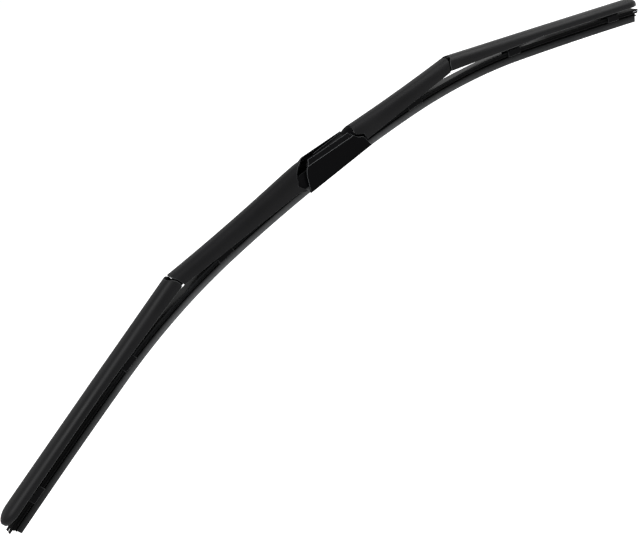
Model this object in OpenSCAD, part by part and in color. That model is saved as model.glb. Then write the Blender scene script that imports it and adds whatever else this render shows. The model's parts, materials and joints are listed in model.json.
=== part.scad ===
// Wiper blade of the covered-frame kind: a bowed rubber squeegee with two spring strips,
// carried by claws under a three-part lever frame with moulded covers, and a hook adapter
// in the middle. Millimetres. X runs along the blade, +Z points away from the glass, and
// the origin is the axis of the pivot on which the wiper arm's hook holds the blade.

/* [Squeegee] */
// Length of the rubber along its wiping edge
blade_len = 650; // [600:10:700]
// Half length of the gently curved stretch in the middle
mid_arc_half = 90; // [80:1:100]
// Distance from the middle at which the sharper bend ends
bend_arc_end = 200; // [190:1:210]
// Radius of the bow in the middle stretch
mid_radius = 1104; // [1000:10:1300]
// Radius of the bow in the sharper bends
bend_radius = 474; // [440:2:520]
// Radius of the bow in the end stretches
end_radius = 4240; // [3500:10:6000]
// Height of the whole rubber section
rubber_h = 11; // [10.6:0.1:11.6]
// Width of the rubber's head, which the claws hold
head_w = 8; // [7.6:0.1:8.2]
// Height at which the head begins
head_z = 7.7; // [7.5:0.1:7.9]
// Width of the neck under the head
neck_w = 1.6; // [1.2:0.1:2.2]
// Width over the two shoulders of the lip
shoulder_w = 5; // [4:0.2:6]
// Height of the lip up to its shoulders
lip_h = 4.3; // [3.8:0.1:4.6]
// Thickness of the lip
lip_w = 1.1; // [0.8:0.1:1.4]
// Width of one spring strip
strip_w = 2.6; // [2.3:0.1:2.8]
// How far the spring strips lie inside the head's sides
strip_inset = 0.5; // [0.3:0.1:0.6]
// Thickness of one spring strip
strip_t = 0.9; // [0.8:0.05:1]
// Height of the spring strips' underside over the wiping edge
strip_z = 8.9; // [8.7:0.05:9.1]
// How far the spring strips stand out of the rubber's ends
strip_over = 3; // [0:0.5:4]

/* [Frame] */
// Thickness of the lever sheet steel
steel_t = 0.9; // [0.7:0.1:1]
// Width inside the main lever
lever_in_w = 10; // [9.9:0.1:10.2]
// Distance from the middle to each hinge of the outer levers
hinge_x = 127; // [125:0.5:129]
// Height of those hinges over the wiping edge's middle
hinge_z = 11.2; // [11:0.1:11.4]
// Radius of the hinge pins
hinge_pin_r = 1.3; // [1.1:0.1:1.4]
// Radius of the main lever's rounded ends about the hinge pins
hinge_boss_r = 2.4; // [2.3:0.1:2.6]
// Radial play between a pin and the lever that turns on it
pin_play = 0.06; // [0.03:0.01:0.1]
// Width over the outer levers
arm_w = 9.6; // [9.4:0.1:9.7]
// Width over the yokes
yoke_w = 7.4; // [7:0.1:7.5]
// Where the yoke pin lies between the yoke's two claws, 0.5 is the middle
yoke_pin_share = 0.46; // [0.42:0.01:0.5]
// Height of the yoke pin over the hinge, square to the outer lever
yoke_pin_v = 5; // [4.8:0.1:5.1]
// Radius of the yoke pins
yoke_pin_r = 1.1; // [0.9:0.1:1.2]

/* [Claws] */
// Distance along the rubber from its middle to each inner claw
inner_claw_s = 92.5; // [90:0.5:95]
// Distance along the rubber from its middle to each yoke's inner claw
mid_claw_s = 191; // [186:1:196]
// Distance along the rubber from each end to the yoke's outer claw
tip_claw_inset = 28; // [24:1:32]
// Length of the inner claws
inner_claw_len = 13.5; // [12:0.5:15]
// Length of the claws on the yokes
yoke_claw_len = 12; // [9:0.5:13]
// Thickness of a claw's walls
claw_t = 0.7; // [0.6:0.05:0.75]
// Play between a claw and the rubber or strip that it holds
claw_play = 0.15; // [0.1:0.05:0.2]

/* [Covers] */
// Width over the covers
cover_w = 15.9; // [15.7:0.1:16.1]
// Wall of the covers
cover_t = 1.1; // [0.9:0.1:1.2]
// Squareness of the covers' rounded section outside, 2 is an ellipse
cover_square = 2.6; // [2.5:0.1:3]
// Squareness of the covers' hollow
cover_square_in = 3.2; // [3:0.1:3.4]
// Height of the middle covers' rim
mid_rim_z = 8.8; // [8.4:0.1:9]
// Height of the crown over the wiping edge, in the middle
crown_z = 24.9; // [24.6:0.1:25.4]
// Radius of the crown along the blade
crown_radius = 330; // [300:10:380]
// Distance from the middle at which the crown runs out into a straight slope
crown_half = 26; // [24:1:28]
// Distance from the middle at which the hollow flank begins
flank_start = 45; // [42:1:50]
// Radius of the hollow flanks along the blade
flank_radius = 1534; // [1400:10:1800]
// Where the middle covers end, measured at the top
mid_cover_end = 134.5; // [133:0.5:135]
// Gap between the covers at a hinge, measured at the top
cover_gap = 3.8; // [3:0.1:4.5]
// Slope of the outer levers and covers at rest, in degrees
arm_slope = 19.06; // [18.8:0.02:19.3]
// Height of the outer covers' crown over the hinge, square to the outer lever
arm_crown_v = 9.7; // [9.5:0.05:9.9]
// Height of the outer covers' rim over the hinge at the hinge end
arm_rim_in = 0.3; // [0:0.1:0.5]
// Height of the outer covers' rim over the hinge on the outer stretch
arm_rim_out = 3.4; // [3.2:0.1:3.5]
// Distance from the hinge at which the rim becomes level
arm_rim_u = 96; // [90:1:105]
// Length of the outer covers' rounded tips
tip_round = 11.6; // [9:0.2:14]
// How far the outer covers' tips pass the rubber's end face
tip_over = 0.4; // [0:0.1:2]

/* [Adapter] */
// Height of the pivot rivet
pivot_z = 17.9; // [17.8:0.1:18.2]
// Radius of the pivot rivet
pivot_r = 1.5; // [1.3:0.05:1.6]
// Width of the slot for the arm's hook
hook_w = 9.3; // [9.2:0.05:9.4]
// Half height of the core that the hook closes on
core_half = 2.6; // [2.4:0.05:2.6]
// Length of that core from the pivot to the latch end
core_len = 30; // [28:0.5:31]
// Where the adapter's cheeks begin, at their foot
cheek_x0 = -15.7; // [-16.5:0.1:-15]
// Where the adapter's cheeks end, at their foot
cheek_x1 = 44.4; // [43.5:0.1:45.5]
// Height of the cheeks' lower edge
cheek_z = 2.9; // [2.6:0.1:4]
// Thickness of the cheeks
cheek_t = 1.35; // [1.2:0.05:1.5]
// Height of the adapter's top over the wiping edge
adapter_top = 23.7; // [23.4:0.1:24]

/* [Hidden] */

// Facets: arcs of the bow, and ordinary round features
bow_fn = 1080;
bow_steps = 42;
round_fn = 64;
section_steps = 20;

// The wiping edge: three tangent arcs from the middle to each end
half_len = blade_len / 2;
tip_claw_s = half_len - tip_claw_inset;
deg = 180 / PI;
ang_1 = mid_arc_half / mid_radius * deg;
ang_2 = ang_1 + (bend_arc_end - mid_arc_half) / bend_radius * deg;
ang_3 = ang_2 + (half_len - bend_arc_end) / end_radius * deg;

// A point at height 0 on an arc that starts at p with slope a0 and reaches slope a1
function arc_to(p, r, a0, a1) = [p[0] + r * (sin(a1) - sin(a0)), p[1] - r * (cos(a0) - cos(a1))];
p_1 = arc_to([0, 0], mid_radius, 0, ang_1);
p_2 = arc_to(p_1, bend_radius, ang_1, ang_2);
p_3 = arc_to(p_2, end_radius, ang_2, ang_3);

function lip_angle(s) =
  s < mid_arc_half ? s / mid_radius * deg :
  s < bend_arc_end ? ang_1 + (s - mid_arc_half) / bend_radius * deg :
  ang_2 + (s - bend_arc_end) / end_radius * deg;
function lip_point(s) =
  s < mid_arc_half ? arc_to([0, 0], mid_radius, 0, lip_angle(s)) :
  s < bend_arc_end ? arc_to(p_1, bend_radius, ang_1, lip_angle(s)) :
  arc_to(p_2, end_radius, ang_2, lip_angle(s));
// A point at height h over the wiping edge, square to it
function over_lip(s, h) = lip_point(s) + h * [sin(lip_angle(s)), cos(lip_angle(s))];

// Frame widths, from the inside out
lever_w = lever_in_w + 2 * steel_t;
arm_in_w = arm_w - 2 * steel_t;
yoke_in_w = yoke_w - 2 * steel_t;
head_half = head_w / 2;
claw_half = head_half + claw_play + claw_t;

// Place in the XZ plane of a point given along (u) and square to (v) an outer lever
function arm_pt(u, v) = [
  hinge_x + u * cos(arm_slope) + v * sin(arm_slope),
  hinge_z - u * sin(arm_slope) + v * cos(arm_slope)
];
// The same, the other way round
function arm_u(p) = (p[0] - hinge_x) * cos(arm_slope) - (p[1] - hinge_z) * sin(arm_slope);
yoke_pin_u = (1 - yoke_pin_share) * arm_u(over_lip(mid_claw_s, rubber_h))
  + yoke_pin_share * arm_u(over_lip(tip_claw_s, rubber_h));
function arm_v(p) = (p[0] - hinge_x) * sin(arm_slope) + (p[1] - hinge_z) * cos(arm_slope);

// Height of the middle covers' crown at a distance x from the middle
crown_ang = asin(crown_half / crown_radius);
crown_run_z = crown_z - crown_radius * (1 - cos(crown_ang));
flank_z = crown_run_z - (flank_start - crown_half) * tan(crown_ang);
flank_x0 = flank_start + flank_radius * sin(crown_ang);
function crown(x) =
  abs(x) < crown_half ? crown_z - crown_radius + sqrt(crown_radius * crown_radius - x * x) :
  abs(x) < flank_start ? crown_run_z - (abs(x) - crown_half) * tan(crown_ang) :
  flank_z + flank_radius * cos(crown_ang)
    - sqrt(flank_radius * flank_radius - pow(abs(x) - flank_x0, 2));
function rim_v(u) = u > arm_rim_u ? arm_rim_out :
  arm_rim_in + (arm_rim_out - arm_rim_in) * u / arm_rim_u;

// Main lever: how far its web reaches up into the covers' hollow
web_rise = 0.71;
lever_foot = hinge_z - hinge_boss_r + 0.3;
function hollow_top(x) = crown(x) - cover_t;
function lever_top(x) = mid_rim_z + web_rise * (hollow_top(x) - mid_rim_z);
// The web is left out over the adapter, between these two places
window_x0 = -21;
window_x1 = 45;

// Everything below is drawn with the wiping edge's middle at height 0, then set so that
// the pivot lies at the origin
module at_pivot() {
  translate([0, 0, -pivot_z]) children();
}
module both_sides(left) {
  if (left) mirror([1, 0, 0]) children();
  else children();
}

// A side outline, drawn in the XZ plane, given a width across the blade
module across(w) {
  rotate([90, 0, 0]) linear_extrude(w, center = true) children();
}
// A round bar along Y
module cross_bar(p, r, len) {
  translate([p[0], 0, p[1]]) rotate([90, 0, 0]) cylinder(h = len, r = r, center = true, $fn = round_fn);
}
// A headed pin along Y: the shank in two widths of lever, and a head on each end
module headed_pin(p, r, len, head_r, head_t) {
  union() {
    cross_bar(p, r, len + head_t);
    for (side = [-1, 1])
      translate([p[0], side * (len / 2 + head_t / 2), p[1]]) rotate([90, 0, 0])
        cylinder(h = head_t, r = head_r, center = true, $fn = round_fn);
  }
}

// A line at height h over the whole wiping edge, and a band between two such lines
function bow_line(h, extra) = [
  for (i = [-bow_steps : bow_steps]) let (
    s = (half_len + extra) * abs(i) / bow_steps,
    q = over_lip(s, h)
  ) [sign(i) * q[0], q[1]]
];
function backwards(l) = [for (i = [len(l) - 1 : -1 : 0]) l[i]];
module band(h0, h1, w, extra = 0) {
  across(w) polygon(concat(bow_line(h0, extra), backwards(bow_line(h1, extra))));
}
// Sweeps a section along a short stretch about the place s
module sweep_at(s, len) {
  r = s < mid_arc_half ? mid_radius : s < bend_arc_end ? bend_radius : end_radius;
  half = len / 2 / r * deg;
  q = lip_angle(s);
  translate([lip_point(s)[0], 0, lip_point(s)[1]]) rotate([0, q, 0]) translate([0, 0, -r])
    rotate([90, 0, 0]) rotate([0, 0, 90 - half]) rotate_extrude(angle = 2 * half, $fn = bow_fn)
      translate([r, 0]) children();
}

// Squeegee: lip, shoulders, neck, and a head with a slot in each side for a spring strip
slot_in = head_half - strip_inset - strip_w;
strip_y = head_half - strip_inset - strip_w / 2;
slot_gap = 0.05;
module rubber_element() {
  color([0.1, 0.1, 0.1]) at_pivot() union() {
    band(0, lip_h + 0.9, lip_w);
    band(lip_h + 0.7, lip_h + 1.8, shoulder_w);
    band(lip_h + 1.6, head_z + 0.2, neck_w);
    band(head_z, strip_z - slot_gap, head_w);
    band(strip_z - slot_gap - 0.2, strip_z + strip_t + slot_gap + 0.2, 2 * (slot_in - slot_gap));
    band(strip_z + strip_t + slot_gap, rubber_h, head_w);
  }
}
module spring_strip(side) {
  color([0.75, 0.76, 0.78]) at_pivot() translate([0, side * strip_y, 0])
    band(strip_z, strip_z + strip_t, strip_w, strip_over);
}

// Claw section: a roof over the head, two sides, and two toes under the head
claw_in = head_half + claw_play;
claw_foot = head_z - claw_play - claw_t;
claw_top = rubber_h + claw_play + claw_t;
toe_in = neck_w / 2 + 1;
module claw_section() {
  difference() {
    translate([claw_foot, -claw_half]) square([claw_top - claw_foot, 2 * claw_half]);
    translate([head_z - claw_play, -claw_in]) square([rubber_h - head_z + 2 * claw_play, 2 * claw_in]);
    translate([claw_foot - 1, -toe_in]) square([4, 2 * toe_in]);
  }
}
// A claw and the tongue that sits in the open end of its lever
tongue_h = 1.2;
module claw(s, len, tongue_w) {
  union() {
    sweep_at(s, len) claw_section();
    sweep_at(s, len - 1) translate([claw_top - 0.1, -tongue_w / 2]) square([tongue_h + 0.1, tongue_w]);
  }
}
module inner_claw(left) {
  color([0.16, 0.16, 0.17]) at_pivot() both_sides(left)
    claw(inner_claw_s, inner_claw_len, arm_in_w - 0.1);
}
module yoke_claw(left, s) {
  color([0.16, 0.16, 0.17]) at_pivot() both_sides(left) claw(s, yoke_claw_len, yoke_in_w - 0.1);
}

// Main lever: a pressed channel with ears for the pivot rivet and an end for each hinge
ear_r = 3;
function lever_line(x0, x1, n) = [for (i = [0 : n]) let (x = x0 + (x1 - x0) * i / n) [x, lever_top(x)]];
lever_outline = concat(
  lever_line(-hinge_x, window_x0, 14),
  [[-18, pivot_z + 0.7], [-ear_r - 1, pivot_z + 0.7], [ear_r + 1, pivot_z + 0.7]],
  [[30, 15.1], [37, 12.2], [44, 12], [46.5, 14.5]],
  lever_line(49, hinge_x, 14),
  [[hinge_x, lever_foot], [52, lever_foot], [46, 7.4], [-21, 7.4], [-27, lever_foot], [-hinge_x, lever_foot]]
);
function lowered(pts, t) = [for (p = pts) [p[0], p[1] - t]];
module primary_lever() {
  color([0.2, 0.2, 0.21]) at_pivot() difference() {
    union() {
      across(lever_w) polygon(lever_outline);
      cross_bar([0, pivot_z], ear_r, lever_w);
      for (side = [-1, 1]) cross_bar([side * hinge_x, hinge_z], hinge_boss_r, lever_w);
    }
    // hollow under the web
    across(lever_in_w) polygon(concat(
      [[-hinge_x - 9, 5]],
      [[-hinge_x - 9, lever_top(hinge_x) - steel_t]],
      lowered(lever_line(-hinge_x, window_x0, 14), steel_t),
      [[window_x0, 30], [window_x1 + 1.5, 30], [window_x1 + 1.5, lever_top(49) - steel_t]],
      lowered(lever_line(49, hinge_x, 14), steel_t),
      [[hinge_x + 9, lever_top(hinge_x) - steel_t], [hinge_x + 9, 5]]
    ));
    cross_bar([0, pivot_z], pivot_r, 40);
    for (side = [-1, 1]) cross_bar([side * hinge_x, hinge_z], hinge_pin_r, 40);
  }
}
module pivot_rivet() {
  color([0.62, 0.63, 0.65]) at_pivot() headed_pin([0, pivot_z], pivot_r, lever_w, pivot_r + 0.8, 0.45);
}
module hinge_pin(left) {
  color([0.62, 0.63, 0.65]) at_pivot() both_sides(left)
    headed_pin([hinge_x, hinge_z], hinge_pin_r, lever_w, hinge_pin_r + 0.6, 0.35);
}

// Outer lever: a channel from the inner claw over the hinge to the fork for the yoke
fork_u = 88;
arm_top_v = 7.4;
claw_seat = 0.06;
inner_seat_0 = over_lip(inner_claw_s - inner_claw_len / 2, claw_top + claw_seat);
inner_seat_1 = over_lip(inner_claw_s + inner_claw_len / 2, claw_top + claw_seat);
function arm_line(top) = [
  inner_seat_0 + [0, top], inner_seat_1 + [0, top], [hinge_x - 17, 12.3 - 2.6 + top],
  [hinge_x - 4, hinge_z + 2.2 - 2.6 + top], arm_pt(3, 2.3 - 2.6 + top), arm_pt(16, arm_top_v - 2.6 + top)
];
module secondary_lever(left) {
  color([0.2, 0.2, 0.21]) at_pivot() both_sides(left) difference() {
    union() {
      across(arm_w) polygon(concat(
        arm_line(2.6),
        [arm_pt(yoke_pin_u, yoke_pin_v + 2), arm_pt(yoke_pin_u, yoke_pin_v - 2)],
        [arm_pt(fork_u, 4.4), arm_pt(58, 4.1), arm_pt(30, 1.8), arm_pt(8, -1), arm_pt(1.5, -2.1)],
        [[hinge_x - 3, hinge_z - 2], inner_seat_1, inner_seat_0]
      ));
      cross_bar([hinge_x, hinge_z], 2.2, arm_w);
      cross_bar(arm_pt(yoke_pin_u, yoke_pin_v), 2.1, arm_w);
    }
    across(arm_in_w) polygon(concat(
      [inner_seat_0 + [-4, -12], inner_seat_0 + [-4, 2.6 - steel_t]],
      arm_line(2.6 - steel_t),
      [arm_pt(fork_u, arm_top_v - steel_t), arm_pt(fork_u, 14), arm_pt(yoke_pin_u + 9, 14)],
      [arm_pt(yoke_pin_u + 9, -12), arm_pt(0, -14)]
    ));
    cross_bar([hinge_x, hinge_z], hinge_pin_r + pin_play, 40);
    cross_bar(arm_pt(yoke_pin_u, yoke_pin_v), yoke_pin_r, 40);
  }
}
module yoke_pin(left) {
  color([0.62, 0.63, 0.65]) at_pivot() both_sides(left)
    headed_pin(arm_pt(yoke_pin_u, yoke_pin_v), yoke_pin_r, arm_w, yoke_pin_r + 0.5, 0.3);
}

// Yoke: a bowed channel that turns on the yoke pin, with a claw on each end
function seat(s, d) = over_lip(s + d * yoke_claw_len / 2, claw_top + claw_seat);
function yoke_line(top) = [
  seat(mid_claw_s, -1) + [0, top], seat(mid_claw_s, 1) + [0, top],
  arm_pt(yoke_pin_u - 6, yoke_pin_v + 1.9 - 1.9 + top), arm_pt(yoke_pin_u + 6, yoke_pin_v + 1.9 - 1.9 + top),
  seat(tip_claw_s, -1) + [0, top], seat(tip_claw_s, 1) + [0, top]
];
module yoke(left) {
  color([0.2, 0.2, 0.21]) at_pivot() both_sides(left) difference() {
    across(yoke_w) polygon(concat(
      yoke_line(1.9),
      [seat(tip_claw_s, 1), seat(tip_claw_s, -1)],
      [arm_pt(yoke_pin_u + 10, yoke_pin_v - 1.9), arm_pt(yoke_pin_u - 10, yoke_pin_v - 1.9)],
      [seat(mid_claw_s, 1), seat(mid_claw_s, -1)]
    ));
    across(yoke_in_w) polygon(concat(
      [seat(mid_claw_s, -1) + [-4, -9], seat(mid_claw_s, -1) + [-4, 1.9 - 0.6 + 1]],
      yoke_line(1.9 - 0.6),
      [seat(tip_claw_s, 1) + [6, 1.9 - 0.6 - 2], seat(tip_claw_s, 1) + [6, -12]]
    ));
    cross_bar(arm_pt(yoke_pin_u, yoke_pin_v), yoke_pin_r + pin_play, 40);
  }
}

// Covers. A ring of points on a rounded half tube: half width w, rim and crown heights,
// squareness n, at a place given by the rim's and the ridge's positions along the cover
function mix(a, b, t) = a + (b - a) * t;
function power(a, n) = a <= 0.000001 ? 0 : pow(a, 2 / n);
function ring(w, n, x_rim, x_ridge, zr, zc, rz = 0) = [
  for (i = [0 : section_steps]) let (
    a = 180 * i / section_steps,
    c = cos(a),
    k = power(sin(a), n),
    y = w * sign(c) * power(abs(c), n)
  ) [x_rim + (x_ridge - x_rim) * k, y, zr + (zc - zr) * k - rz]
];
// Joins outer and inner rings into one shell with open rims. Its far end is open, or
// closed by a cap where the cover ends in a rounded tip
module shell(outer, inner, capped) {
  m = len(outer) - 1;
  c = len(outer[0]);
  e = c - 1;
  o = function(j, i) j * c + i;
  n = function(j, i) (m + 1 + j) * c + i;
  sides = [for (j = [0 : m - 1]) for (i = [0 : e - 1]) each [
    [o(j, i), o(j + 1, i), o(j + 1, i + 1), o(j, i + 1)],
    [n(j, i), n(j, i + 1), n(j + 1, i + 1), n(j + 1, i)]
  ]];
  rims = [for (j = [0 : m - 1]) each [
    [o(j, 0), n(j, 0), n(j + 1, 0), o(j + 1, 0)],
    [o(j, e), o(j + 1, e), n(j + 1, e), n(j, e)]
  ]];
  near_end = [for (i = [0 : e - 1]) [o(0, i), o(0, i + 1), n(0, i + 1), n(0, i)]];
  far_open = [for (i = [0 : e - 1]) [o(m, i + 1), o(m, i), n(m, i), n(m, i + 1)]];
  far_cap = [
    [for (i = [e : -1 : 0]) o(m, i)], [for (i = [0 : e]) n(m, i)], [o(m, e), o(m, 0), n(m, 0), n(m, e)]
  ];
  polyhedron(
    points = [for (r = concat(outer, inner)) each r],
    faces = concat(sides, rims, near_end, capped ? far_cap : far_open),
    convexity = 6
  );
}
cover_half = cover_w / 2;
hollow_half = cover_half - cover_t;
mid_steps = 20;
// Inner ends of the middle covers: share of the way up from rim to crown, place along x
left_end = [
  [0, 16.6], [0.06, 17.2], [0.16, 19.4], [0.25, 21.2], [0.32, 21.9], [0.42, 20.8], [0.54, 19.6], [0.62, 19.8],
  [0.82, 17.1], [0.96, 13.4], [1, 9.3]
];
right_end = [[0, 43.8], [0.39, 43.1], [0.47, 40.2], [0.56, 37.8], [0.69, 37.3], [0.91, 37.6], [1, 38.6]];
// Ends of the covers at a hinge: share of the way up, and how far that end lies short of the ridge's
mid_hinge_end = [[0, 4.3], [0.12, 4.1], [0.45, 3.1], [0.7, 1.9], [0.9, 0.5], [1, 0]];
arm_hinge_end = [[0, 2.8], [0.25, 3.6], [0.54, 3.6], [0.8, 2.4], [1, 0]];
// Beside the adapter the left cover's rim runs down to a foot
foot_drop = 2.9;
foot_len = 8;
function foot(x, left) = !left ? 0 :
  let (t = max(0, min(1, (left_end[0][1] + foot_len - abs(x)) / foot_len))) foot_drop * t * t * (3 - 2 * t);
function mid_rings(w, n, drop, left) = [
  for (j = [0 : mid_steps]) let (t = pow(j / mid_steps, 1.3)) [
    for (q = ring(w, n, 0, 1, 0, 1)) let (
      k = q[2],
      x = mix(lookup(k, left ? left_end : right_end), mid_cover_end - lookup(k, mid_hinge_end), t)
    ) [x, q[1], mid_rim_z + (crown(x) - drop - mid_rim_z) * k - foot(x, left) * pow(1 - k, 3)]
  ]
];
module mid_cover(left) {
  at_pivot() both_sides(left) shell(
    mid_rings(cover_half, cover_square, 0, left),
    mid_rings(hollow_half, cover_square_in, cover_t, left),
    false
  );
}
module centre_cover(left) {
  color([0.13, 0.13, 0.14]) mid_cover(left);
}

// Outer covers are drawn along u and v, then set at the arm's slope about the hinge
lip_end = over_lip(half_len, rubber_h);
tip_u = arm_u(lip_end) + tip_over;
arm_ridge_u0 = arm_u([mid_cover_end + cover_gap, 18]);
arm_steps = 12;
tip_steps = 8;
tip_ang = 84;
function arm_rings(w, n, drop, end_u) = concat(
  [
    for (j = [0 : arm_steps]) let (t = pow(j / arm_steps, 1.3)) [
      for (q = ring(w, n, 0, 1, 0, 1)) let (
        k = q[2],
        u = mix(arm_ridge_u0 - lookup(k, arm_hinge_end), end_u - tip_round, t)
      ) [u, q[1], rim_v(u) + (arm_crown_v - drop - rim_v(u)) * k]
    ]
  ],
  [
    for (j = [1 : tip_steps]) let (
      a = tip_ang * j / tip_steps,
      u = end_u - tip_round + tip_round * sin(a) / sin(tip_ang),
      rise = arm_crown_v - drop - arm_rim_out
    ) ring(w * cos(a), n, u, u, arm_rim_out, arm_rim_out + rise * (0.35 + 0.65 * cos(a)))
  ]
);
module at_arm() {
  translate([hinge_x, 0, hinge_z]) rotate([0, arm_slope, 0]) children();
}
module outer_cover(left) {
  color([0.13, 0.13, 0.14]) at_pivot() both_sides(left) at_arm() shell(
    arm_rings(cover_half, cover_square, 0, tip_u),
    arm_rings(hollow_half, cover_square_in, cover_t, tip_u - cover_t),
    true
  );
}

// Adapter: two cheeks over the lever, a core on the pivot that the hook closes round,
// and a latch end with a release tab
roof_tilt = 4.1;
roof_edge = 5.1;
roof_fall = 3;
cheek_out = cover_half + 0.15;
cheek_in = cheek_out - cheek_t;
slot_half = hook_w / 2;
core_top = pivot_z + core_half;
core_foot = pivot_z - core_half;
module adapter() {
  color([0.09, 0.09, 0.1]) at_pivot() difference() {
    union() {
      difference() {
        intersection() {
          across(2 * cheek_out) polygon([
            [cheek_x0, cheek_z], [-14, 9], [-12.4, 14.8], [-11.2, 17.8], [-9.4, 20.4], [-5.6, 23], [-3, 26],
            [30, 26], [31.9, 22.4], [33, 20.5], [34.4, 18.4], [35.9, 16.4], [37.1, 15], [38.4, 14.1],
            [39.8, 13.4], [41, 12.8], [41.8, 11.8], [42.3, 9.5], [cheek_x1, cheek_z]
          ]);
          translate([0, 0, adapter_top]) rotate([0, roof_tilt, 0]) translate([-60, 0, 0]) rotate([90, 0, 90])
            linear_extrude(140) polygon([
              [-cheek_out, -60], [cheek_out, -60], [cheek_out, -roof_fall], [roof_edge, 0],
              [-roof_edge, 0], [-cheek_out, -roof_fall]
            ]);
        }
        // room between the cheeks for the lever and the squeegee
        across(2 * cheek_in) polygon([
          [-30, -9], [-30, 21.4], [5.4, 21.4], [5.4, 19.2], [27, 17.6], [31.5, 16], [37, 14.1],
          [37.4, 14.1], [37.4, 30], [60, 30], [60, -9]
        ]);
        // channel for the hook over the core
        translate([-30, -slot_half, core_top]) cube([80, hook_w, 30]);
        translate([-30, -slot_half, -9]) cube([34, hook_w, 40]);
      }
      // core
      across(hook_w) difference() {
        union() {
          translate([0, pivot_z]) circle(r = core_half, $fn = round_fn);
          translate([0, core_foot]) square([core_len, 2 * core_half]);
          translate([core_len - 2, core_foot + 0.2]) square([6.5, 2.6]);
        }
        // hollows that keep the moulding's walls even
        for (x = [8, 15, 22]) translate([x, core_foot + 1.2]) square([5.6, 2 * core_half - 2.6]);
      }
    }
    cross_bar([0, pivot_z], pivot_r + pin_play, hook_w + 2);
    // slits beside the release tab
    for (side = [-1, 1]) translate([33, side * (slot_half + 0.5) - 0.4, 10]) cube([14, 0.8, 20]);
  }
}

adapter();
pivot_rivet();
primary_lever();
centre_cover(true);  // centre_cover_left
centre_cover(false);  // centre_cover_right
hinge_pin(true);  // hinge_pin_left
hinge_pin(false);  // hinge_pin_right
secondary_lever(true);  // secondary_lever_left
secondary_lever(false);  // secondary_lever_right
outer_cover(true);  // outer_cover_left
outer_cover(false);  // outer_cover_right
inner_claw(true);  // inner_claw_left
inner_claw(false);  // inner_claw_right
yoke_pin(true);  // yoke_pin_left
yoke_pin(false);  // yoke_pin_right
yoke(true);  // yoke_left
yoke(false);  // yoke_right
yoke_claw(true, mid_claw_s);  // yoke_inner_claw_left
yoke_claw(false, mid_claw_s);  // yoke_inner_claw_right
yoke_claw(true, tip_claw_s);  // yoke_outer_claw_left
yoke_claw(false, tip_claw_s);  // yoke_outer_claw_right
rubber_element();
spring_strip(-1);  // spring_strip_near
spring_strip(1);  // spring_strip_far
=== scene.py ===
import json
import math

import bmesh
import bpy
import numpy as np
from mathutils import Matrix, Vector


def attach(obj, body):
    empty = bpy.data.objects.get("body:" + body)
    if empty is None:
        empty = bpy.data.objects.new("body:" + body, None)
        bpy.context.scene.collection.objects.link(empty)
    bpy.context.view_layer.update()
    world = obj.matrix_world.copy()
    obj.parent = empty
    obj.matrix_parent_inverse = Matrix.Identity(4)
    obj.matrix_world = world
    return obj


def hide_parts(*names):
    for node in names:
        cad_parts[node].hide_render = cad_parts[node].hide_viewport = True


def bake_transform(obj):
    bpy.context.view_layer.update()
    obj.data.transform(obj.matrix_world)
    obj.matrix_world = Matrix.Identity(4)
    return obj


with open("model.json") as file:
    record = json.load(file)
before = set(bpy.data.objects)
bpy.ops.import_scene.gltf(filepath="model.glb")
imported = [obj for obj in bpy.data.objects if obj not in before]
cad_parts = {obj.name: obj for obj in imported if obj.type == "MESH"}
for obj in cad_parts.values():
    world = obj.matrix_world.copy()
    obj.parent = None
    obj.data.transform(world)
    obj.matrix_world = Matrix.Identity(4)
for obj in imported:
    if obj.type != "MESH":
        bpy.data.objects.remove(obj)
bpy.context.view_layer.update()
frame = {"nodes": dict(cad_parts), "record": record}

MM = 0.001

# The blade's own numbers, in mm. Heights are over the middle of the wiping edge, which lies
# PIVOT_Z under the shared frame's origin. HALF_LEN is measured along the edge
PIVOT_Z = 17.9
HALF_LEN = 325.0
# The wiping edge's arcs: where each starts along the edge, and its radius
ARC_S = np.array([0.0, 90.0, 200.0])
ARC_R = np.array([1104.0, 474.0, 4240.0])
# The outer levers' hinge, as x and height, and their slope away from it at rest
HINGE = np.array([127.0, 11.2])
ARM_SLOPE = math.radians(19.06)
# The rubber's head, and the strips: height, thickness, width, place inside the head's side, length
# past the rubber's end, and the rounding of their edges
HEAD_TOP, HEAD_HALF = 11.0, 4.0
STRIP_Z, STRIP_T, STRIP_W, STRIP_INSET, STRIP_OVER = 8.9, 0.9, 2.6, 0.5, 3.0
STRIP_EDGE, SLOT_PLAY = 0.08, 0.05
# The covers: half width, wall, and the powers n of their outer and inner superellipses. Their rows lie
# closer together towards the adapter: a row's place is its share of the length to the power ROW_EASE
COVER_HALF, COVER_T = 7.95, 1.1
COVER_SQUARE, HOLLOW_SQUARE = 2.6, 3.2
ROW_EASE = 1.3
# The middle covers: rim, and the crown's circle, straight slope and hollow circle
MID_RIM_Z, MID_END, MID_END_Z = 8.8, 134.5, 18.0
CROWN_Z, CROWN_R, CROWN_HALF, FLANK_X, FLANK_R = 24.9, 330.0, 26.0, 45.0, 1534.0
# The outer covers, in the lever's frame (u along it, v up from it): crown, rim, and the rounded tip
ARM_CROWN_V, ARM_RIM_IN, ARM_RIM_OUT, ARM_RIM_U = 9.7, -0.75, 3.4, 96.0
COVER_GAP = 3.8
TIP_ROUND, TIP_ANGLE, TIP_FLAT, TIP_OVER = 11.6, 84, 0.35, 0.4
# Inner ends of the middle covers: share of the way up from rim to crown, and place along x
INNER_END = {
    -1: ([0, 0.06, 0.16, 0.25, 0.32, 0.42, 0.54, 0.62, 0.82, 0.96, 1],
         [16.6, 17.2, 19.4, 21.2, 21.9, 20.8, 19.6, 19.8, 17.1, 13.4, 9.3]),
    1: ([0, 0.39, 0.47, 0.56, 0.69, 0.91, 1], [43.8, 43.1, 40.2, 37.8, 37.3, 37.6, 38.6]),
}
# The foot to which the left one's rim dips beside the adapter
FOOT_DROP, FOOT_LEN, FOOT_X = 2.9, 8.0, 16.6
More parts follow.
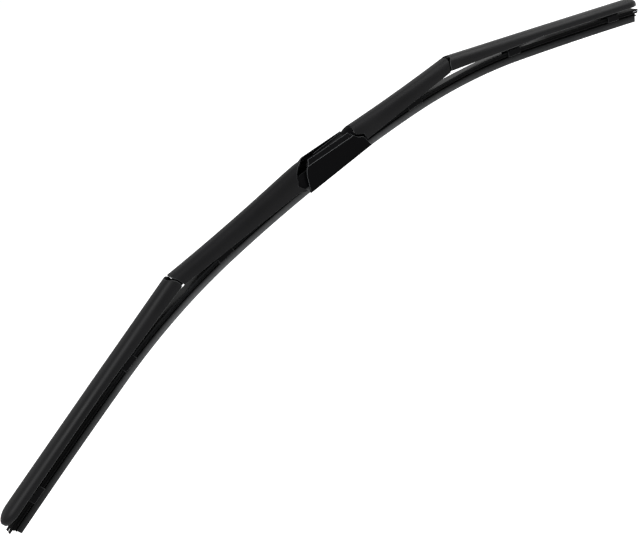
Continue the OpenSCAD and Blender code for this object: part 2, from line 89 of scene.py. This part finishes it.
# Ends of the covers at a hinge: share of the way up, and how far that end lies short of the ridge's
MID_HINGE_END = ([0, 0.12, 0.45, 0.7, 0.9, 1], [4.3, 4.1, 3.1, 1.9, 0.5, 0])
ARM_HINGE_END = ([0, 0.25, 0.54, 0.8, 1], [2.8, 3.6, 3.6, 2.4, 0])
# The adapter's roof, and the end lip that runs from under it to just short of the right cover's inner
# end, so that the blade can still rock on the hook. LIP_END is the share of the way up, and place along x
ROOF_Z, ROOF_TILT, ROOF_EDGE, ROOF_FALL, CHEEK_OUT = 23.7, math.radians(4.1), 5.1, 3.0, 8.1
LIP_X, LIP_UNDER, LIP_SKIN, LIP_T = 31.0, 0.5, 0.1, 0.6
LIP_END = ([0.56, 0.69, 0.91, 1], [37.0, 36.8, 36.9, 37.5])
# Points of the half ring that the lip leaves out at each rim
LIP_LOW = 9
# Where the rubber and its strips pass from one body to the next, along x; they are cut at SPLIT_S
# along the edge, where they lie wholly in the outer lever's hold
BRIDGE_TO_ARM, ARM_TO_ROCKER, SPLIT_S = (22.0, 86.0), (146.0, 183.0), 140.0
ALONG_ROWS = 64
# The rubber's painted shade and sheen: heights where the head's side and its top face begin, and the places
# along x over which the outer covers close above it
HEAD_SIDE, HEAD_FACE, CLOSED_OVER = (8.5, 8.8), (10.78, 10.95), (198.0, 230.0)


# Small helpers
def srgb(text):
    """A colour written as sRGB hex, turned to the linear values that shaders take."""
    c = np.array([int(text[i:i + 2], 16) for i in (1, 3, 5)]) / 255
    lin = np.where(c <= 0.04045, c / 12.92, ((c + 0.055) / 1.055) ** 2.4)
    return (*lin.tolist(), 1.0)


def feed(tree, node, links=(), **sets):
    """Sets a node's properties and sockets, and links it: links is (socket, from node, its output)."""
    for key, value in sets.items():
        if hasattr(node, key):
            setattr(node, key, value)
        else:
            node.inputs[key.replace("_", " ")].default_value = value
    for socket, source, output in links:
        tree.links.new(source.outputs[output], node.inputs[socket])
    return node


def add(tree, kind, links=(), **sets):
    """Adds one node, set and linked as feed does."""
    return feed(tree, tree.nodes.new(kind), links, **sets)


def lip_curve(s):
    """The wiping edge: three tangent circle arcs on each side of the middle. Gives x, z and the slope's
    angle at arc length s."""
    a = np.abs(s)
    ends = np.append(ARC_S[1:], 1e6)
    x, z, th = np.zeros_like(a), np.zeros_like(a), np.zeros_like(a)
    for start, end, r in zip(ARC_S, ends, ARC_R):
        part = np.clip(a - start, 0, end - start)
        nxt = th + part / r
        x += r * (np.sin(nxt) - np.sin(th))
        z -= r * (np.cos(th) - np.cos(nxt))
        th = nxt
    return np.sign(s) * x, z, np.sign(s) * th


def crown(x):
    """Height of the middle covers' ridge: a circle over the middle, a straight slope, then a hollow
    circle."""
    a = np.abs(x)
    ang = math.asin(CROWN_HALF / CROWN_R)
    run_z = CROWN_Z - CROWN_R * (1 - math.cos(ang))
    flank_z = run_z - (FLANK_X - CROWN_HALF) * math.tan(ang)
    fx = FLANK_X + FLANK_R * math.sin(ang)
    top = CROWN_Z - CROWN_R + np.sqrt(np.maximum(CROWN_R ** 2 - a ** 2, 0))
    mid = run_z - (a - CROWN_HALF) * math.tan(ang)
    low = flank_z + FLANK_R * math.cos(ang) - np.sqrt(FLANK_R ** 2 - (a - fx) ** 2)
    return np.where(a < CROWN_HALF, top, np.where(a < FLANK_X, mid, low))


def rim_v(u):
    """Height of an outer cover's rim in the lever's frame: a straight rise from the hinge to
    ARM_RIM_U, and level from there on."""
    return np.where(u > ARM_RIM_U, ARM_RIM_OUT, ARM_RIM_IN + (ARM_RIM_OUT - ARM_RIM_IN) * u / ARM_RIM_U)


def arm_u(x, z):
    """How far along the outer lever, from its hinge, a point at x and height z lies."""
    return (x - HINGE[0]) * math.cos(ARM_SLOPE) - (z - HINGE[1]) * math.sin(ARM_SLOPE)


def shade_smooth(mesh, sharp):
    """Smooth shading, but for edges sharper than this angle in degrees."""
    mesh.polygons.foreach_set("use_smooth", np.ones(len(mesh.polygons), bool))
    mesh.set_sharp_from_angle(angle=math.radians(sharp))


def mesh_piece(name, verts, faces, uv, sharp):
    """A mesh object at the origin, from vertices in mm over the wiping edge, with its faces outwards."""
    v = np.asarray(verts, float).reshape(-1, 3) * MM
    v[:, 2] -= PIVOT_Z * MM
    me = bpy.data.meshes.new(name)
    me.from_pydata(v.tolist(), [], faces)
    if uv is not None:
        layer = me.uv_layers.new(name="UVMap")
        idx = np.empty(len(me.loops), int)
        me.loops.foreach_get("vertex_index", idx)
        layer.data.foreach_set("uv", uv[idx].ravel())
    bm = bmesh.new()
    bm.from_mesh(me)
    bmesh.ops.recalc_face_normals(bm, faces=bm.faces[:])
    bm.to_mesh(me)
    bm.free()
    shade_smooth(me, sharp)
    ob = bpy.data.objects.new(name, me)
    bpy.context.scene.collection.objects.link(ob)
    return ob


def grid_faces(rows, cols, start=0, wrap=False):
    """Quads of a grid of points, row by row, as a whole array."""
    j, i = np.meshgrid(np.arange(rows - 1), np.arange(cols if wrap else cols - 1), indexing="ij")
    k = (i + 1) % cols
    quad = np.stack([j * cols + i, (j + 1) * cols + i, (j + 1) * cols + k, j * cols + k], -1)
    return quad.reshape(-1, 4) + start


def seam(edge, inner_start):
    """Quads that join a row of points of the outer surface to the same row of the inner one."""
    a, b = edge[:-1], edge[1:]
    return np.stack([a, b, inner_start + b, inner_start + a], -1)


def edge_round(ob, width, segments=2, angle=40):
    """A real moulding or pressing has no knife edges: a small rounding on every sharp edge."""
    m = ob.modifiers.new("edges", "BEVEL")
    m.width, m.segments, m.limit_method, m.angle_limit = width * MM, segments, "ANGLE", math.radians(angle)
    m.harden_normals = False
    return ob


def paint_edge_highlight(ob, material):
    """The rounded edges take a second finish, paler than the faces beside them, as a painted highlight along
    those edges.
    """
    ob.data.materials.append(material)
    ob.modifiers["edges"].material = len(ob.data.materials) - 1
    return ob


# Pieces worked out as surfaces
def swept(name, section, s_values, centre=(0.0, 0.0)):
    """A closed section (height over the lip, across), carried square along the wiping edge's arcs.
    A point of it is the edge's point at s, plus its height times the edge's normal there."""
    sec = np.asarray(section, float) + np.array(centre)
    x, z, th = lip_curve(np.asarray(s_values, float))
    h, y = sec[:, 0], sec[:, 1]
    px = x[:, None] + h[None] * np.sin(th)[:, None]
    pz = z[:, None] + h[None] * np.cos(th)[:, None]
    py = np.broadcast_to(y[None], px.shape)
    rows, cols = px.shape
    faces = grid_faces(rows, cols, wrap=True).tolist()
    faces += [list(range(cols)), list(range((rows - 1) * cols, rows * cols))[::-1]]
    step = np.hypot(*np.diff(np.vstack([sec, sec[:1]]), axis=0).T)
    run = np.concatenate([[0], np.cumsum(step)[:-1]])
    uv = np.stack(np.broadcast_arrays(np.asarray(s_values)[:, None] * MM, run[None] * MM), -1).reshape(-1, 2)
    ob = mesh_piece(name, np.stack([px, py, pz], -1), faces, uv, 30)
    height = ob.data.attributes.new("height", "FLOAT", "POINT")
    height.data.foreach_set("value", np.tile(h, rows).astype(np.float32))
    return ob


def mirrored(points):
    """A half section's points, then the same points mirrored across the blade and in reverse."""
    p = np.asarray(points, float)
    return np.vstack([p, (p * [1, -1])[::-1]])


def half_ring(w, n, steps=56):
    """Half a superellipse: across the blade w times the 2/n power of the cosine, and up the 2/n power
    of the sine, which runs from 0 at the rims to 1 at the ridge."""
    a = np.linspace(0, np.pi, steps + 1)
    k = np.abs(np.sin(a)) ** (2 / n)
    k[[0, -1]] = 0
    return w * np.sign(np.cos(a)) * np.abs(np.cos(a)) ** (2 / n), k


def shell(name, outer, inner, capped):
    """Outer and inner rings joined along both rims and at the near end; the far end is open or capped."""
    rows, cols = outer.shape[:2]
    n0, last = rows * cols, (rows - 1) * cols
    quads = [grid_faces(rows, cols), grid_faces(rows, cols, n0)[:, ::-1]]
    quads += [seam(np.arange(rows) * cols + c, n0) for c in (0, cols - 1)]
    quads += [seam(np.arange(cols), n0)]
    if capped:
        faces = np.concatenate(quads).tolist()
        faces += [list(range(last, last + cols)), list(range(n0 + last, n0 + last + cols)),
                  [last, last + cols - 1, n0 + last + cols - 1, n0 + last]]
    else:
        faces = np.concatenate(quads + [seam(last + np.arange(cols), n0)]).tolist()
    return mesh_piece(name, np.concatenate([outer.reshape(-1, 3), inner.reshape(-1, 3)]), faces, None, 38)


def mid_rings(w, n, drop, side, rows=80):
    """Rings of a middle cover: each point's height runs from the rim to the crown at its own x, which
    goes from the inner end's line to the hinge end's. The left rim dips to a foot beside the adapter."""
    y, k = half_ring(w, n)
    near = np.interp(k, *INNER_END[side])
    far = MID_END - np.interp(k, *MID_HINGE_END)
    x = near + (far - near) * np.linspace(0, 1, rows + 1)[:, None] ** ROW_EASE
    dip = np.clip((FOOT_X + FOOT_LEN - x) / FOOT_LEN, 0, 1) * (side < 0)
    dip = FOOT_DROP * dip ** 2 * (3 - 2 * dip)
    z = MID_RIM_Z + (crown(x) - drop - MID_RIM_Z) * k - dip * (1 - k) ** 3
    return np.stack([side * x, np.broadcast_to(y, x.shape), z], -1)


def arm_rings(w, n, drop, end_u, ridge_u, side, rows=60, tip=16):
    """Rings of an outer cover in the outer lever's own frame: each point's height runs from the rim to
    the crown, and at the tip the section shrinks on a quarter ellipse."""
    y, k = half_ring(w, n)
    last = end_u - TIP_ROUND
    near = ridge_u - np.interp(k, *ARM_HINGE_END)
    u = near + (last - near) * np.linspace(0, 1, rows + 1)[:, None] ** ROW_EASE
    v = rim_v(u) + (ARM_CROWN_V - drop - rim_v(u)) * k
    a = np.radians(np.linspace(TIP_ANGLE / tip, TIP_ANGLE, tip))[:, None]
    round_u = last + TIP_ROUND * np.sin(a) / math.sin(math.radians(TIP_ANGLE)) + 0 * k
    shrink = TIP_FLAT + (1 - TIP_FLAT) * np.cos(a)
    round_v = ARM_RIM_OUT + (ARM_CROWN_V - drop - ARM_RIM_OUT) * shrink * k
    across = np.vstack([np.broadcast_to(y, u.shape), y * np.cos(a)])
    u, v = np.vstack([u, round_u]), np.vstack([v, round_v])
    cs, sn = math.cos(ARM_SLOPE), math.sin(ARM_SLOPE)
    return np.stack([side * (HINGE[0] + u * cs + v * sn), across, HINGE[1] - u * sn + v * cs], -1)


def lip_rings(w, n, drop, rows=10):
    """Rings of the adapter's end lip: each point slides from under the roof's section to the right
    cover's section, a little short of that cover's inner end, and rises on a parabola."""
    y, k = (part[LIP_LOW:-LIP_LOW] for part in half_ring(w, n))
    roof = ROOF_Z - LIP_X * math.tan(ROOF_TILT)
    fall = ROOF_FALL * np.clip((np.abs(y) - ROOF_EDGE) / (CHEEK_OUT - ROOF_EDGE), 0, 1)
    z0 = MID_RIM_Z + (roof - fall - LIP_UNDER - drop - MID_RIM_Z) * k
    x1 = np.interp(k, *LIP_END)
    z1 = MID_RIM_Z + (crown(x1) - drop - MID_RIM_Z) * k
    t = np.linspace(0, 1, rows + 1)[:, None]
    rise = 1 - (1 - t) ** 2
    across = np.broadcast_to(y, (rows + 1, len(y)))
    return np.stack([LIP_X + (x1 - LIP_X) * t, across, z0 + (z1 - z0) * rise], -1)


def softened_copy(node, width):
    """A CAD node's own shape with its doubles merged and its edges rounded, in the node's place."""
    me = frame["nodes"][node].data.copy()
    bm = bmesh.new()
    bm.from_mesh(me)
    bmesh.ops.remove_doubles(bm, verts=bm.verts[:], dist=0.002 * MM)
    bmesh.ops.dissolve_limit(bm, angle_limit=math.radians(0.6), verts=bm.verts[:], edges=bm.edges[:])
    bmesh.ops.recalc_face_normals(bm, faces=bm.faces[:])
    bm.to_mesh(me)
    bm.free()
    me.materials.clear()
    shade_smooth(me, 30)
    ob = bpy.data.objects.new(node + "_moulding", me)
    bpy.context.scene.collection.objects.link(ob)
    return edge_round(ob, width, segments=1, angle=25)


# Materials
def blank_tree(owner):
    """The node tree of a material or a world, emptied."""
    owner.use_nodes = True
    owner.node_tree.nodes.clear()
    return owner.node_tree


def new_material(name):
    """A material with only its shader and output: gives the material, its tree and the shader."""
    m = bpy.data.materials.new(name)
    t = blank_tree(m)
    shader = add(t, "ShaderNodeBsdfPrincipled")
    add(t, "ShaderNodeOutputMaterial", [("Surface", shader, "BSDF")])
    return m, t, shader


def object_coords(t, scale=(1.0, 1.0, 1.0)):
    """The piece's own coordinates in metres, times a scale."""
    c = add(t, "ShaderNodeTexCoord")
    return add(t, "ShaderNodeMapping", [("Vector", c, "Object")], Scale=scale)


def noise(t, at, output, scale, detail, rough):
    """A noise texture; scale is in cells per metre of its coordinates."""
    return add(t, "ShaderNodeTexNoise", [("Vector", at, output)], Scale=scale, Detail=detail, Roughness=rough)


def spread(t, source, output, before=(0.0, 1.0), after=(0.0, 1.0)):
    """A map from one range of values to another, held at its ends."""
    return add(t, "ShaderNodeMapRange", [("Value", source, output)], From_Min=before[0], From_Max=before[1],
               To_Min=after[0], To_Max=after[1])


def ramp(t, source, output, stops):
    """A colour ramp with its stops as (position, sRGB hex)."""
    node = add(t, "ShaderNodeValToRGB", [("Fac", source, output)])
    marks = node.color_ramp.elements
    while len(marks) < len(stops):
        marks.new(0.5)
    for mark, (at, text) in zip(marks, stops):
        mark.position = at
    for mark, (at, text) in zip(marks, stops):
        mark.color = srgb(text)
    return node


def relief(t, source, strength, depth_mm):
    """Bumps of this depth from a texture's values."""
    return add(t, "ShaderNodeBump", [("Height", source, "Fac")], Strength=strength, Distance=depth_mm * MM)


def product(t, *pair):
    """Two values multiplied, each given as (node, its output)."""
    links = [(socket, *value) for socket, value in enumerate(pair)]
    return add(t, "ShaderNodeMath", links, operation="MULTIPLY")


def moulded_plastic(name, colour, worn, rough, grain_mm, bump_mm, level):
    """Injection-moulded plastic: an even colour, a fine spark-eroded grain, slow changes in gloss from
    the mould's flow, and a little paler where hands and cloths have rubbed it."""
    m, t, p = new_material(name)
    at = object_coords(t)
    grain = noise(t, at, "Vector", 1000 / grain_mm, 2.0, 0.6)
    flow = noise(t, at, "Vector", 28.0, 3.0, 0.55)
    tone = ramp(t, flow, "Fac", [(0.35, colour), (0.75, worn)])
    gloss = spread(t, flow, "Fac", (0.3, 0.7), (rough - 0.05, rough + 0.06))
    bump = relief(t, grain, 0.35, bump_mm)
    feed(t, p, [("Base Color", tone, "Color"), ("Roughness", gloss, "Result"), ("Normal", bump, "Normal")],
         IOR=1.5, Specular_IOR_Level=level)
    return m


def steel(name, colour, dull, rough, line_scale, bump_mm):
    """Bare steel, drawn or rolled: metal with fine lines along its length and slightly uneven
    brightness."""
    m, t, p = new_material(name)
    lines = noise(t, object_coords(t, line_scale), "Vector", 1.0, 4.0, 0.65)
    tone = ramp(t, lines, "Fac", [(0, dull), (1, colour)])
    bump = relief(t, lines, 0.3, bump_mm)
    feed(t, p, [("Base Color", tone, "Color"), ("Normal", bump, "Normal")], Metallic=1.0, Roughness=rough)
    return m


def strip_with_painted_shade(name, dark, bare, bare_from):
    """Spring strip steel: dark over its length, its left end too, as painted shade inside the rubber's slot,
    and bare rolled metal with fine lines on its end at +x that stands out of the rubber."""
    m, t, p = new_material(name)
    c = add(t, "ShaderNodeTexCoord")
    at = add(t, "ShaderNodeMapping", [("Vector", c, "Object")], Scale=(40.0, 2200.0, 2200.0))
    lines = noise(t, at, "Vector", 1.0, 4.0, 0.65)
    split = add(t, "ShaderNodeSeparateXYZ", [("Vector", c, "Object")])
    end = spread(t, split, "X", (bare_from - 0.4 * MM, bare_from))
    metal = ramp(t, lines, "Fac", [(0, bare[0]), (1, bare[1])])
    slot_shade = ramp(t, lines, "Fac", [(0, dark[0]), (1, dark[1])])
    tone = add(t, "ShaderNodeMixRGB",
               [("Fac", end, "Result"), ("Color1", slot_shade, "Color"), ("Color2", metal, "Color")])
    rough = spread(t, end, "Result", after=(0.65, 0.3))
    bump = relief(t, lines, 0.3, 0.012)
    feed(t, p, [("Base Color", tone, "Color"), ("Metallic", end, "Result"), ("Roughness", rough, "Result"),
                ("Normal", bump, "Normal")], Specular_IOR_Level=0.05)
    return m


def coated_steel(name, colour, rough):
    """Powder-coated steel: a slightly wavy, orange-peel skin with a satin gloss."""
    m, t, p = new_material(name)
    at = object_coords(t)
    peel = noise(t, at, "Vector", 1000 / 0.9, 1.5, 0.5)
    spots = noise(t, at, "Vector", 90.0, 2.0, 0.5)
    gloss = spread(t, spots, "Fac", (0.3, 0.7), (rough - 0.05, rough + 0.05))
    bump = relief(t, peel, 0.4, 0.05)
    feed(t, p, [("Roughness", gloss, "Result"), ("Normal", bump, "Normal")],
         Base_Color=srgb(colour), Specular_IOR_Level=0.03)
    return m


def extruded_rubber(name, by_height, by_place, rough, top_level):
    """Extruded rubber: dull, with faint die lines along its length. The lip is palest towards its edge,
    partly from its graphite film and partly as painted light from below, and the shoulder's step, the neck
    and the head's lower side are painted dark as shade. The whole rubber is darker towards both ends of the
    blade. Where the outer covers close down over the head it is painted darker, as shade under them, and up
    to there its top face has a painted sheen."""
    m, t, p = new_material(name)
    c = add(t, "ShaderNodeTexCoord")
    at = add(t, "ShaderNodeMapping", [("Vector", c, "UV")], Scale=(25.0, 2600.0, 1.0))
    lines = noise(t, at, "Vector", 1.0, 3.0, 0.6)
    bloom = noise(t, c, "Object", 60.0, 4.0, 0.6)
    height = add(t, "ShaderNodeAttribute", attribute_name="height")
    split = add(t, "ShaderNodeSeparateXYZ", [("Vector", c, "Object")])
    from_middle = add(t, "ShaderNodeMath", [(0, split, "X")], operation="ABSOLUTE")

    # Colour: by the height in the section, times the place along the blade, times slow clouds, and painted
    # shade on the head where the outer covers close over it
    section = ramp(t, spread(t, height, "Fac", (0.0, HEAD_TOP)), "Result", by_height)
    along = spread(t, split, "X", (-HALF_LEN * MM, HALF_LEN * MM))
    place = ramp(t, along, "Result", by_place)
    both = add(t, "ShaderNodeMixRGB", [("Color1", section, "Color"), ("Color2", place, "Color")],
               blend_type="MULTIPLY", Fac=1.0)
    clouds = spread(t, bloom, "Fac", (0.3, 0.7), (0.8, 1.15))
    closed = spread(t, from_middle, "Value", tuple(x * MM for x in CLOSED_OVER))
    cover_shade_mask = product(t, (closed, "Result"), (spread(t, height, "Fac", HEAD_SIDE), "Result"))
    shade = product(t, (spread(t, cover_shade_mask, "Value", after=(1.0, 0.25)), "Result"), (clouds, "Result"))
    tone = add(t, "ShaderNodeVectorMath", [(0, both, "Color"), ("Scale", shade, "Value")], operation="SCALE")

    # Painted sheen: on the head's top face, where no cover closes over it
    free = spread(t, closed, "Result", after=(1.0, 0.0))
    smooth = product(t, (spread(t, height, "Fac", HEAD_FACE), "Result"), (free, "Result"))
    sheen = spread(t, smooth, "Value", after=(0.03, top_level))
    gloss = spread(t, smooth, "Value", after=(rough, rough * 0.4))
    bump = relief(t, lines, 0.3, 0.03)
    feed(t, p, [("Base Color", tone, "Vector"), ("Specular IOR Level", sheen, "Result"),
                ("Roughness", gloss, "Result"), ("Normal", bump, "Normal")])
    return m


abs_cover = moulded_plastic("grained_ABS_cover", "#0b0b0c", "#101011", 0.42, 0.45, 0.03, 0.1)
# Paler finishes for the rounded edges of covers, adapter and claws: a painted highlight along them
abs_edge_highlight = moulded_plastic("ABS_edge_painted_highlight", "#2a2b2c", "#38393a", 0.4, 0.45, 0.01, 0.2)
pom_adapter = moulded_plastic("gloss_POM_adapter", "#060607", "#080809", 0.34, 0.8, 0.01, 0.02)
pom_edge_highlight = moulded_plastic("POM_edge_painted_highlight", "#505153", "#646567", 0.4, 0.8, 0.01, 0.2)
claw_edge_highlight = moulded_plastic("claw_edge_painted_highlight", "#1c1c1d", "#2c2d2e", 0.45, 0.8, 0.01, 0.1)
pom_claw = moulded_plastic("moulded_POM_claw", "#080809", "#0b0b0c", 0.5, 0.5, 0.02, 0.03)
lever_paint = coated_steel("powder_coated_steel", "#050506", 0.5)
pin_zinc = steel("zinc_plated_pin_steel", "#b9bbbf", "#8f9196", 0.35, (900.0, 60.0, 900.0), 0.01)
edge_x, edge_z, edge_slope = (float(part[0]) for part in lip_curve(np.array([HALF_LEN])))
# The strips: dark as painted shade over their length, bare steel only at their ends at +x
strip_steel = strip_with_painted_shade("spring_strip_painted_shade", ("#0b0b0c", "#151516"), ("#9b9da1", "#c6c8cb"),
                               (edge_x - 1) * MM)
# The section's tones: the lip pale towards its edge, from graphite and painted light from below; painted
# shade at the shoulder's step and over the neck and the head's lower side. Along the blade, darker towards
# both ends
rubber = extruded_rubber(
    "extruded_EPDM_squeegee",
    [(0.0, "#707172"), (0.25, "#5a5b5c"), (0.42, "#3c3d3e"), (0.445, "#0c0c0d"), (0.48, "#2a2b2c"),
     (0.54, "#1e1f20"), (0.57, "#080809"), (0.79, "#0a0a0b"), (0.83, "#2a2b2c"), (0.99, "#18191a")],
    [(0.0, "#6a6a6a"), (0.15, "#b8b8b8"), (0.3, "#ffffff"), (0.6, "#f0f0f0"), (0.75, "#a8a8a8"),
     (1.0, "#8c8c8c")],
    0.5, 0.07)

# Finishes of the CAD nodes that stay as they are, by how their names start
finish_of = {
    "pivot_rivet": pin_zinc, "hinge_pin_": pin_zinc, "yoke_pin_": pin_zinc,
    "primary_lever": lever_paint, "secondary_lever_": lever_paint,
    "yoke_left": lever_paint, "yoke_right": lever_paint,
}
for node, ob in frame["nodes"].items():
    for start, material in finish_of.items():
        if node.startswith(start):
            ob.data.materials.clear()
            ob.data.materials.append(material)


def dress(ob, material, slot, body, *nodes):
    """A new piece's material and replaced nodes, and the body it rides on, if it rides on one. slot is not
    used.
    """
    ob.data.materials.append(material)
    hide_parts(*nodes)
    if body:
        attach(ob, body)
    return ob


# The adapter with its end lip, and the claws
adapter = softened_copy("adapter", 0.4)
paint_edge_highlight(dress(adapter, pom_adapter, "adapter_plastic", "adapter_body", "adapter"), pom_edge_highlight)
lip = shell("adapter_end_lip", lip_rings(COVER_HALF - LIP_SKIN, COVER_SQUARE, LIP_SKIN),
            lip_rings(COVER_HALF - LIP_T, HOLLOW_SQUARE, LIP_T), False)
dress(edge_round(lip, 0.2), pom_adapter, "adapter_plastic", "adapter_body", "adapter")
for body, nodes in frame["record"]["behaviour"]["bodies"].items():
    for node in nodes:
        if "claw" in node:
            paint_edge_highlight(dress(softened_copy(node, 0.3), pom_claw, "claw_plastic", body, node), claw_edge_highlight)

# The covers
ridge_u = arm_u(MID_END + COVER_GAP, MID_END_Z)
tip_u = arm_u(edge_x + HEAD_TOP * math.sin(edge_slope), edge_z + HEAD_TOP * math.cos(edge_slope)) + TIP_OVER
for side, word in ((-1, "left"), (1, "right")):
    cover = shell("cover_mid_" + word, mid_rings(COVER_HALF, COVER_SQUARE, 0, side),
                  mid_rings(COVER_HALF - COVER_T, HOLLOW_SQUARE, COVER_T, side), False)
    dress(edge_round(cover, 0.3), abs_cover, "cover_plastic", "bridge", "centre_cover_" + word)
    paint_edge_highlight(cover, abs_edge_highlight)
    hollow = arm_rings(COVER_HALF - COVER_T, HOLLOW_SQUARE, COVER_T, tip_u - COVER_T, ridge_u, side)
    cover = shell("cover_outer_" + word, arm_rings(COVER_HALF, COVER_SQUARE, 0, tip_u, ridge_u, side),
                  hollow, True)
    dress(edge_round(cover, 0.3), abs_cover, "cover_plastic", "arm_" + word, "outer_cover_" + word)
    paint_edge_highlight(cover, abs_edge_highlight)

# The squeegee's section, near half: lip, shoulders, neck, and the head with its slot
slot_in = HEAD_HALF - STRIP_INSET - STRIP_W - SLOT_PLAY
squeegee_half = [
    (0.0, 0.34), (1.2, 0.42), (3.0, 0.5), (4.9, 0.55), (5.05, 1.6), (5.15, 2.35), (5.35, 2.5), (5.85, 2.5),
    (6.1, 2.35), (6.1, 0.9), (6.25, 0.8), (7.55, 0.8), (7.7, 0.9), (7.7, 3.8), (7.9, 4.0), (8.95, 4.0),
    (9.12, 3.85), (9.12, 3.7), (8.85, 3.55), (8.85, slot_in), (9.85, slot_in), (9.85, 3.55), (9.58, 3.7),
    (9.58, 3.85), (9.75, 4.0), (10.9, 4.0), (11.0, 3.93), (11.0, 2.4), (11.0, 1.2), (11.0, 0.9),
]
t0, t1, w0, w1 = STRIP_EDGE, STRIP_T - STRIP_EDGE, STRIP_EDGE, STRIP_W - STRIP_EDGE
strip_section = [(0.0, w0), (t0, 0.0), (t1, 0.0), (STRIP_T, w0), (STRIP_T, w1), (t1, STRIP_W), (t0, STRIP_W),
                 (0.0, w1)]

# The rubber and its strips, each side in two lengths
for side, word in ((-1, "left"), (1, "right")):
    stretches = (("inner", (0, SPLIT_S), 0, "bridge", "arm_" + word, BRIDGE_TO_ARM),
                 ("outer", (SPLIT_S, HALF_LEN), STRIP_OVER, "arm_" + word, "rocker_" + word, ARM_TO_ROCKER))
    for part_word, (s0, s1), over, held_by, passes_to, (x0, x1) in stretches:
        run = side * np.linspace(s0, s1, ALONG_ROWS)
        strip_run = side * np.linspace(s0, s1 + over, ALONG_ROWS)
        tail = f"{word}_{part_word}"
        squeegee = swept("squeegee_" + tail, mirrored(squeegee_half), run)
        parts = [dress(squeegee, rubber, "squeegee_rubber", None, "rubber_element")]
        for near, y0 in (("near", STRIP_INSET - HEAD_HALF), ("far", HEAD_HALF - STRIP_INSET - STRIP_W)):
            strip = swept(f"strip_{near}_{tail}", strip_section, strip_run, (STRIP_Z, y0))
            parts.append(dress(strip, strip_steel, "strip_steel", None, "spring_strip_" + near))
        for part in parts:
            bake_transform(part)

# The camera at the photograph's place: its angles, its focal length in the photograph's pixels, and
# its place over the middle of the wiping edge
AZ, EL, ROLL = (math.radians(a) for a in (-20.26, 29.29, -29.42))
FOCAL_PX, PHOTO_PX, SENSOR_MM = 1203, 640, 36
CAMERA_AT = Vector((-0.30410, -0.72924, 0.38175))
back = Vector((math.sin(AZ) * math.cos(EL), -math.cos(AZ) * math.cos(EL), math.sin(EL)))
level = Vector((math.cos(AZ), math.sin(AZ), 0))
upright = back.cross(level)
right = level * math.cos(ROLL) + upright * math.sin(ROLL)
up = upright * math.cos(ROLL) - level * math.sin(ROLL)
cam = bpy.data.cameras.new("camera")
cam.sensor_width, cam.lens, cam.sensor_fit = SENSOR_MM, FOCAL_PX * SENSOR_MM / PHOTO_PX, "HORIZONTAL"
cam.clip_start, cam.clip_end = 0.01, 50
cam.dof.use_dof = False
scene = bpy.context.scene
eye = bpy.data.objects.new("camera", cam)
scene.collection.objects.link(eye)
eye.matrix_world = (Matrix.Translation(CAMERA_AT - Vector((0, 0, PIVOT_Z * MM)))
                    @ Matrix((right, up, back)).transposed().to_4x4())
scene.camera = eye

# The white studio: its whole world white to the eye and in reflections, softer as a light, and a pale
# floor that glows to the eye and keeps the shadow
scene.view_settings.view_transform = "Standard"
WORLD_SEEN, WORLD_LIGHT = 1.0, 0.3
FLOOR_Z, FLOOR_HALF, FLOOR_TONE, FLOOR_GLOW = -0.30, 9, 0.82, 0.66


def seen_ray(tree):
    """1 for a camera, glossy or transmission ray, else 0."""
    path = add(tree, "ShaderNodeLightPath")
    two = add(tree, "ShaderNodeMath", [(0, path, "Is Camera Ray"), (1, path, "Is Glossy Ray")],
              operation="MAXIMUM")
    return add(tree, "ShaderNodeMath", [(0, two, 0), (1, path, "Is Transmission Ray")], operation="MAXIMUM")


scene.world = bpy.data.worlds.new("white_studio")
wt = blank_tree(scene.world)
bright = add(wt, "ShaderNodeBackground", Color=(1, 1, 1, 1), Strength=WORLD_SEEN)
soft = add(wt, "ShaderNodeBackground", Color=(1, 1, 1, 1), Strength=WORLD_LIGHT)
sky = add(wt, "ShaderNodeMixShader", [("Fac", seen_ray(wt), 0), (1, soft, 0), (2, bright, 0)])
add(wt, "ShaderNodeOutputWorld", [("Surface", sky, 0)])

fm = bpy.data.materials.new("white_floor")
ft = blank_tree(fm)
matt = add(ft, "ShaderNodeBsdfDiffuse", Color=(FLOOR_TONE, FLOOR_TONE, FLOOR_TONE, 1))
power = add(ft, "ShaderNodeMath", [(0, seen_ray(ft), 0)], operation="MULTIPLY")
power.inputs[1].default_value = FLOOR_GLOW
glow = add(ft, "ShaderNodeEmission", [("Strength", power, 0)], Color=(1, 1, 1, 1))
total = add(ft, "ShaderNodeAddShader", [(0, matt, 0), (1, glow, 0)])
add(ft, "ShaderNodeOutputMaterial", [("Surface", total, 0)])
corners = [(x * FLOOR_HALF, y * FLOOR_HALF, FLOOR_Z) for x, y in ((-1, -1), (1, -1), (1, 1), (-1, 1))]
floor_me = bpy.data.meshes.new("floor")
floor_me.from_pydata(corners, [], [(0, 1, 2, 3)])
floor_me.materials.append(fm)
floor = bpy.data.objects.new("floor", floor_me)
scene.collection.objects.link(floor)


def softbox(name, at, aim, size, watts):
    """A large rectangular lamp that points at a place on the blade. Together the lamps are at a level at
    which a colour renders about as written."""
    data = bpy.data.lights.new(name, "AREA")
    data.shape, data.size, data.size_y, data.energy = "RECTANGLE", size[0], size[1], watts
    ob = bpy.data.objects.new(name, data)
    scene.collection.objects.link(ob)
    ob.location = at
    ob.rotation_euler = (Vector(aim) - Vector(at)).to_track_quat("-Z", "Y").to_euler()


softbox("key", (-0.88, -0.6, 1.3), (-0.22, 0, 0), (1.1, 1.1), 30)
softbox("fill", (1.28, -0.15, 0.95), (0.15, 0, 0), (1.2, 1.1), 18)
